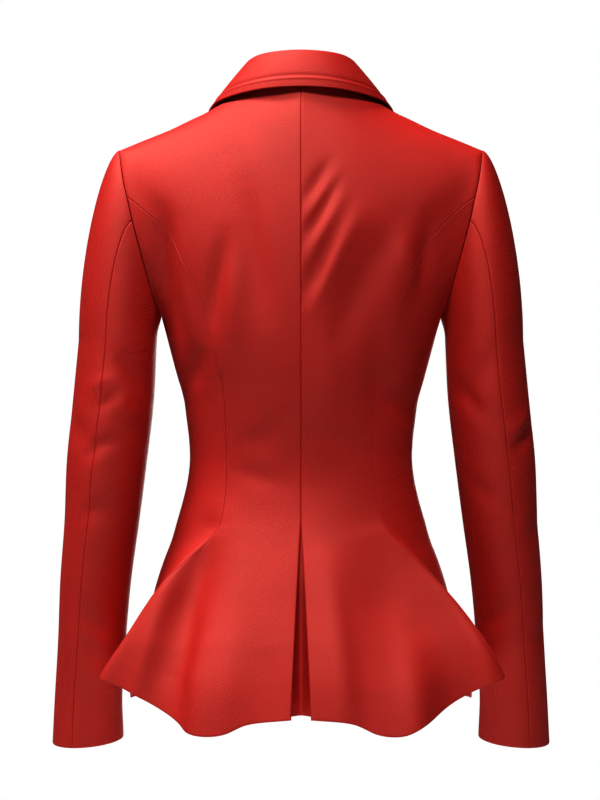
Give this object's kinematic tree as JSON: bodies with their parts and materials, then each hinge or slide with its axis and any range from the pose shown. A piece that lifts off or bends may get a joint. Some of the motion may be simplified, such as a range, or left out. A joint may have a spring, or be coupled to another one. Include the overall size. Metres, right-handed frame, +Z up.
{
  "type": "women's fitted wool coat with peplum",
  "caption": "Hip-length fitted women's coat in plain wool: turned-down collar, princess seams into a flared peplum, back pleat, set-in sleeves, buttoned front.",
  "frame": {"origin": "on the body's central axis at the height of the shoulders, where the wearer's shoulders and neck hold the coat up", "axes": "+Z up, -Y towards the buttoned front, +X towards the wearer's left"},
  "size_m": [0.5316, 0.2995, 0.733],
  "materials": {
    "wool": "matte fine wool with a soft sheen",
    "button": "satin"
  },
  "bodies": {
    "root": {"back_left": "wool", "back_right": "wool", "side_back_left": "wool", "side_back_right": "wool", "side_front_left": "wool", "side_front_right": "wool", "front_left": "wool", "front_right": "wool", "lapel_left": "wool", "lapel_right": "wool", "collar": "wool", "top_sleeve_left": "wool", "top_sleeve_right": "wool", "under_sleeve_left": "wool", "under_sleeve_right": "wool", "pleat_return_left": "wool", "pleat_return_right": "wool", "pleat_underlay": "wool", "button_top": "button", "button_middle": "button", "button_low": "button"}
  },
  "joints": []
}
